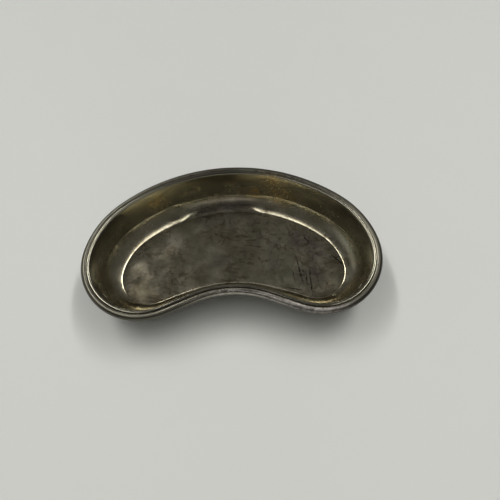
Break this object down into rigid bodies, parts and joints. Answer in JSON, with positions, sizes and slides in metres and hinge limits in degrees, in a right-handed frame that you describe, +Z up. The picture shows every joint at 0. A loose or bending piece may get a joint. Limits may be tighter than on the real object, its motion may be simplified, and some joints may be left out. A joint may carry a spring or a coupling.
{
  "type": "kidney dish",
  "caption": "Shallow kidney-shaped metal dish with sloping walls, a rounded floor edge, a narrow ledge round the top and an edge rolled over a wire.",
  "frame": {"origin": "on the surface that the dish stands on, under the middle of its outline", "axes": "+X along the dish, +Y towards its rounded back with the hollow front facing -Y, +Z up out of the bowl"},
  "size_m": [0.205, 0.1158, 0.0316],
  "materials": {
    "plated_sheet": "worn nickel plate over brass, scratched and tarnished",
    "wire": "dull drawn wire"
  },
  "bodies": {
    "root": {"basin": "plated_sheet", "rim_wire": "wire"}
  },
  "joints": []
}
